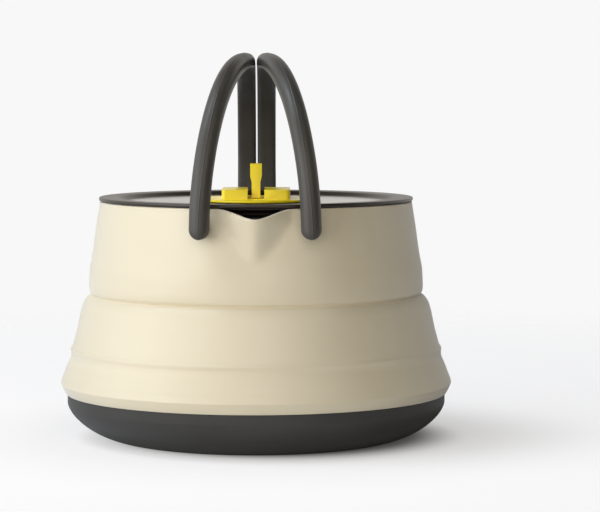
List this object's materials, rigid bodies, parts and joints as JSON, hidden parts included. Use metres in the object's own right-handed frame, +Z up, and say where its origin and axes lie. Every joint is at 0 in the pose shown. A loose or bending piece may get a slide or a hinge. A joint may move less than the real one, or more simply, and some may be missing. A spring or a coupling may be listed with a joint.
{
  "type": "collapsible kettle",
  "caption": "Low camping kettle with a metal base, a folding silicone wall with a spout, a tinted lid with a fold-down tab, and hoop handles that fold to the sides.",
  "frame": {"origin": "middle of the base pan's flat underside", "axes": "+Z up; -Y the way the spout points; +X to the right of someone facing the spout"},
  "size_m": [0.1556, 0.1556, 0.153],
  "materials": {
    "anodised_base": "hard anodised aluminium, satin dark grey",
    "silicone": "matte cream silicone",
    "nylon": "matte black nylon",
    "handle": "satin charcoal",
    "steel": "plain stainless steel",
    "dark_steel": "blackened steel",
    "lid": "smoke-tinted, glossy",
    "gasket": "matte grey silicone",
    "knob": "satin yellow"
  },
  "bodies": {
    "base": {"base_pan": "anodised_base", "lower_wall": "silicone", "fold_web": "silicone"},
    "upper": {"upper_wall": "silicone", "rim_collar": "nylon", "front_left_lug": "nylon", "front_right_lug": "nylon", "rear_left_lug": "nylon", "rear_right_lug": "nylon", "front_left_bush": "steel", "front_right_bush": "steel", "rear_left_bush": "steel", "rear_right_bush": "steel"},
    "left_handle": {"handle_left": "handle", "front_left_pivot_pin": "steel", "rear_left_pivot_pin": "steel"},
    "right_handle": {"handle_right": "handle", "front_right_pivot_pin": "steel", "rear_right_pivot_pin": "steel"},
    "lid": {"lid_panel": "lid", "lid_seal": "gasket", "knob_base": "knob", "knob_backing_plate": "steel", "knob_screw_left": "steel", "knob_screw_right": "steel", "tab_hinge_pin": "dark_steel"},
    "tab": {"finger_tab": "knob"}
  },
  "joints": [
    {"name": "collapse", "type": "slide", "parent": "base", "child": "upper", "axis": [0, 0, -1], "range_m": [0, 0.044], "deforming": ["fold_web"]},
    {"name": "left_handle_fold", "type": "hinge", "parent": "upper", "child": "left_handle", "pos_m": [-0.0211, -0.06733, 0.0868], "axis": [-0.1235, -0.9923, 0], "range_deg": [0, 95]},
    {"name": "right_handle_fold", "type": "hinge", "parent": "upper", "child": "right_handle", "pos_m": [0.0211, -0.06733, 0.0868], "axis": [-0.1235, 0.9923, 0], "range_deg": [0, 95]},
    {"name": "lid_lift", "type": "slide", "parent": "upper", "child": "lid", "axis": [0, 0, 1], "range_m": [0, 0.015]},
    {"name": "tab_fold", "type": "hinge", "parent": "lid", "child": "tab", "pos_m": [0, 0, 0.0974], "axis": [-1, 0, 0], "range_deg": [0, 90]}
  ]
}
